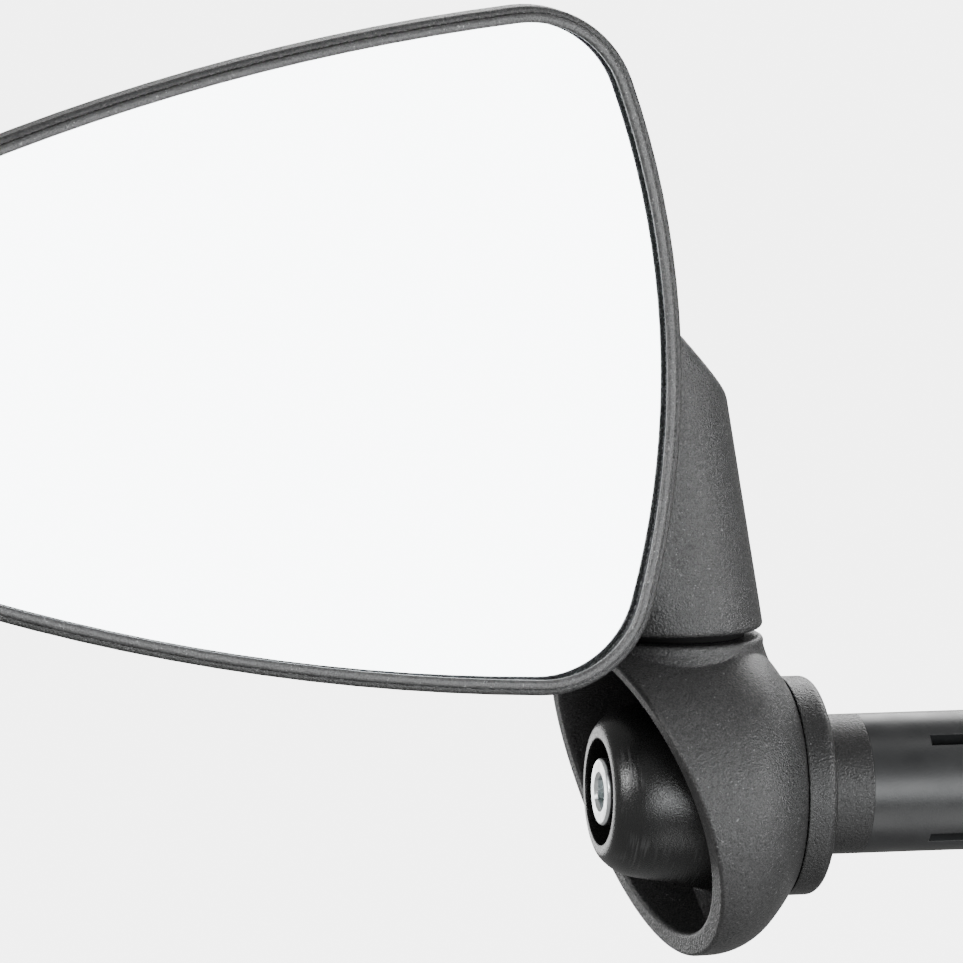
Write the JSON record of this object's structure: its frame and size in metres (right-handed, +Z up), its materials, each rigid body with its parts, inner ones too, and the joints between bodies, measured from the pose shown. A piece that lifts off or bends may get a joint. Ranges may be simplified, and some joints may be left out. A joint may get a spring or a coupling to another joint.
{
  "type": "bar-end bicycle mirror",
  "caption": "Convex rear-view mirror on a folding arm, with a ball-backed cup that clamps in the open end of a bicycle handlebar.",
  "frame": {"origin": "centre of the flange face that seats on the end of the handlebar", "axes": "+X into the handlebar along its axis, +Z up, -Y the way the mirror faces, towards the rider's eye"},
  "size_m": [0.1922, 0.0418, 0.1209],
  "materials": {
    "moulded_black": "fine spark-eroded grain",
    "bezel_black": "fine grain",
    "hub_black": "satin",
    "silvered_glass": "polished",
    "foam_pad": "foam",
    "zinc_steel": "bright zinc plated",
    "spring_steel": "drawn wire",
    "natural_nylon": "smooth",
    "black_acetal": "smooth",
    "grey_nylon": "glass-filled",
    "black_rubber": "matt"
  },
  "bodies": {
    "bar_mount": {"seat_flange": "moulded_black", "expander_sleeve": "grey_nylon", "sleeve_o_rings": "black_rubber", "clamp_hub": "hub_black", "head_washer": "zinc_steel"},
    "clamp_screw_body": {"clamp_screw": "zinc_steel"},
    "cone_body": {"expander_cone": "grey_nylon", "cone_nut": "zinc_steel"},
    "swivel_ring": {"outer_friction_washer": "black_acetal"},
    "tilt_ring": {"inner_friction_washer": "black_acetal"},
    "housing": {"pivot_housing": "moulded_black", "fold_stud": "zinc_steel", "glide_washer": "black_acetal", "spring_cap": "zinc_steel", "lock_nut": "zinc_steel", "lock_nut_insert": "natural_nylon"},
    "head": {"mirror_shell": "moulded_black", "bezel": "bezel_black", "mirror_glass": "silvered_glass", "adhesive_pad": "foam_pad", "fold_spring": "spring_steel", "pivot_bush": "natural_nylon"}
  },
  "joints": [
    {"name": "bar_swivel", "type": "hinge", "parent": "bar_mount", "child": "swivel_ring", "pos_m": [-0.0262, 0, 0], "axis": [1, 0, 0], "continuous": true},
    {"name": "ball_tilt_y", "type": "hinge", "parent": "swivel_ring", "child": "tilt_ring", "pos_m": [-0.0262, 0, 0], "axis": [0, 1, 0], "range_deg": [-6, 6]},
    {"name": "ball_tilt_z", "type": "hinge", "parent": "tilt_ring", "child": "housing", "pos_m": [-0.0262, 0, 0], "axis": [0, 0, 1], "range_deg": [-6, 6]},
    {"name": "fold", "type": "hinge", "parent": "housing", "child": "head", "pos_m": [-0.0181, 0, 0.0207], "axis": [0, 0, 1], "range_deg": [-90, 90]},
    {"name": "screw_turn", "type": "hinge", "parent": "bar_mount", "child": "clamp_screw_body", "pos_m": [0, 0, 0], "axis": [-1, 0, 0], "range_deg": [0, 1820]},
    {"name": "cone_slide", "type": "slide", "parent": "bar_mount", "child": "cone_body", "axis": [1, 0, 0], "range_m": [0, 0.004]}
  ],
  "couplings": [
    {"joint": "screw_turn", "follows": "cone_slide", "rad_per_m": 7854}
  ]
}
